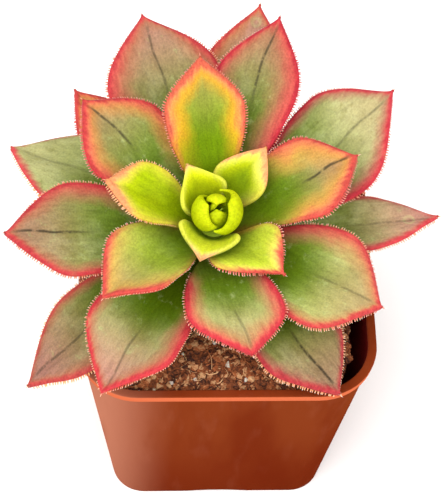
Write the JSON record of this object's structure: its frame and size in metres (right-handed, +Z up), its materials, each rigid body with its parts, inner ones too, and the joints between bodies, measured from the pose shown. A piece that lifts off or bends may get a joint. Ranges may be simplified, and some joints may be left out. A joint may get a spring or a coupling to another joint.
{
  "type": "potted aeonium",
  "caption": "Potted succulent with an open, spiralling rosette of broad toothed leaves round a small bud, on a short stem in a square tapered nursery pot.",
  "frame": {"origin": "middle of the pot's underside, on the surface that the pot stands on", "axes": "+Z up through the pot, -Y towards the pot's front, square to one of its sides"},
  "size_m": [0.0816, 0.0778, 0.088],
  "materials": {
    "pot": "satin, faintly dusty",
    "soil": "matte, fibrous",
    "stem": "matte",
    "bud_leaf": "satin",
    "inner_leaf": "satin",
    "middle_leaf": "satin",
    "outer_leaf": "satin, with a powdery bloom"
  },
  "bodies": {
    "root": {"pot": "pot", "soil": "soil", "stem": "stem", "rosette_leaf_01": "inner_leaf", "rosette_leaf_02": "inner_leaf", "rosette_leaf_03": "inner_leaf", "rosette_leaf_04": "inner_leaf", "rosette_leaf_05": "inner_leaf", "rosette_leaf_06": "middle_leaf", "rosette_leaf_07": "middle_leaf", "rosette_leaf_08": "middle_leaf", "rosette_leaf_09": "middle_leaf", "rosette_leaf_10": "middle_leaf", "rosette_leaf_11": "middle_leaf", "rosette_leaf_12": "middle_leaf", "rosette_leaf_13": "middle_leaf", "rosette_leaf_14": "outer_leaf", "rosette_leaf_15": "outer_leaf", "rosette_leaf_16": "outer_leaf", "rosette_leaf_17": "outer_leaf", "rosette_leaf_18": "outer_leaf", "rosette_leaf_19": "outer_leaf", "rosette_leaf_20": "outer_leaf", "rosette_leaf_21": "outer_leaf", "rosette_leaf_22": "outer_leaf", "bud_leaf_1": "bud_leaf", "bud_leaf_2": "bud_leaf", "bud_leaf_3": "bud_leaf", "bud_leaf_4": "bud_leaf", "bud_leaf_5": "bud_leaf"}
  },
  "joints": []
}
